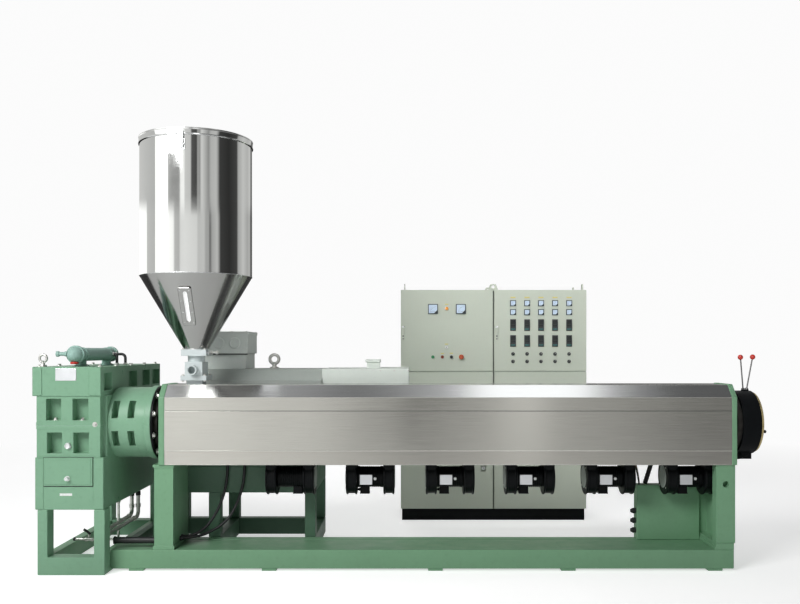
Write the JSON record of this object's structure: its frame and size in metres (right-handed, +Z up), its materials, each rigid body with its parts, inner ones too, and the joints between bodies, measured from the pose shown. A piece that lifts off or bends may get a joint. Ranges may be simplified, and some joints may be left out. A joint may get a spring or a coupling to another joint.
{
  "type": "plastic extruder",
  "caption": "Single-screw plastic extruder on a steel base with vertical gearbox, polished hopper, long barrel guard, cooling blowers, motor behind and a control cabinet.",
  "frame": {"origin": "on the floor under the middle of the bounding box", "axes": "+X along the screw towards the die end, +Y from the operator side to the rear, +Z up"},
  "size_m": [4.848, 2.364, 2.913],
  "materials": {
    "machine_green": "satin",
    "dark_green": "satin",
    "brushed_steel": "satin",
    "polished_steel": "polished",
    "bright_steel": "satin",
    "barrel_steel": "satin",
    "heater_cast": "matte",
    "black_iron": "satin",
    "brass": "satin",
    "lever": "satin",
    "motor_grey": "satin",
    "pale_grey": "satin",
    "cabinet_grey": "satin",
    "plinth_black": "satin",
    "cable_black": "matte",
    "instrument_black": "satin",
    "meter": "gloss",
    "button": "gloss",
    "pad": "satin"
  },
  "bodies": {
    "machine": {"barrel": "barrel_steel", "base_beams": "machine_green", "base_cross_members": "machine_green", "blower_housings": "black_iron", "blower_motors": "black_iron", "cabinet_back": "cabinet_grey", "cabinet_cross_panels": "cabinet_grey", "cabinet_plinth": "plinth_black", "cabinet_roof": "cabinet_grey", "cabinet_sides": "cabinet_grey", "cable_a": "cable_black", "cable_b": "cable_black", "clamp_levers": "lever", "conduit_fittings": "cable_black", "die_adapter": "brass", "die_clamp_ring": "black_iron", "feed_throat": "bright_steel", "gearbox_fittings": "machine_green", "gearbox_lower_case": "machine_green", "gearbox_stand_portals": "machine_green", "gearbox_stand_rails": "machine_green", "gearbox_upper_case": "machine_green", "guard_end_plates": "machine_green", "guard_lower_panels": "brushed_steel", "guard_middle_panels": "brushed_steel", "guard_top": "brushed_steel", "guard_upper_panels": "brushed_steel", "heater_jackets": "heater_cast", "hopper_cone": "polished_steel", "hopper_fittings": "bright_steel", "hopper_shell": "polished_steel", "input_coupling": "barrel_steel", "junction_box": "machine_green", "left_pedestal": "machine_green", "levelling_feet": "pad", "lifting_eyes": "machine_green", "main_motor": "motor_grey", "motor_bed": "dark_green", "motor_cooling_box": "pale_grey", "motor_frame_cross": "dark_green", "motor_frame_long": "dark_green", "motor_frame_posts": "dark_green", "motor_terminal_box": "motor_grey", "oil_cooler": "machine_green", "oil_pipes": "bright_steel", "output_neck": "machine_green", "right_pedestal": "machine_green"},
    "door_upper_left": {"door_upper_left": "cabinet_grey", "left_door_meters": "meter", "left_door_buttons": "button"},
    "door_upper_right": {"door_upper_right": "cabinet_grey", "right_door_instruments": "instrument_black", "right_door_knobs": "instrument_black"},
    "door_lower_left": {"door_lower_left": "cabinet_grey"},
    "door_lower_right": {"door_lower_right": "cabinet_grey"},
    "gate": {"slide_gate": "bright_steel"},
    "lid": {"hopper_lid": "polished_steel"}
  },
  "joints": [
    {"name": "upper_left_door_hinge", "type": "hinge", "parent": "machine", "child": "door_upper_left", "pos_m": [0.761, 0.683, 1.64], "axis": [0, 0, 1], "range_deg": [0, 90]},
    {"name": "upper_right_door_hinge", "type": "hinge", "parent": "machine", "child": "door_upper_right", "pos_m": [1.567, 0.683, 1.64], "axis": [0, 0, 1], "range_deg": [0, 90]},
    {"name": "lower_left_door_hinge", "type": "hinge", "parent": "machine", "child": "door_lower_left", "pos_m": [-0.033, 0.683, 0.69], "axis": [0, 0, -1], "range_deg": [0, 75]},
    {"name": "lower_right_door_hinge", "type": "hinge", "parent": "machine", "child": "door_lower_right", "pos_m": [1.567, 0.683, 0.69], "axis": [0, 0, 1], "range_deg": [0, 90]},
    {"name": "hopper_lid_hinge", "type": "hinge", "parent": "machine", "child": "lid", "pos_m": [-1.429, -0.377, 2.862], "axis": [-1, 0, 0], "range_deg": [0, 100]},
    {"name": "hopper_gate_slide", "type": "slide", "parent": "machine", "child": "gate", "axis": [1, 0, 0], "range_m": [0, 0.12]}
  ]
}
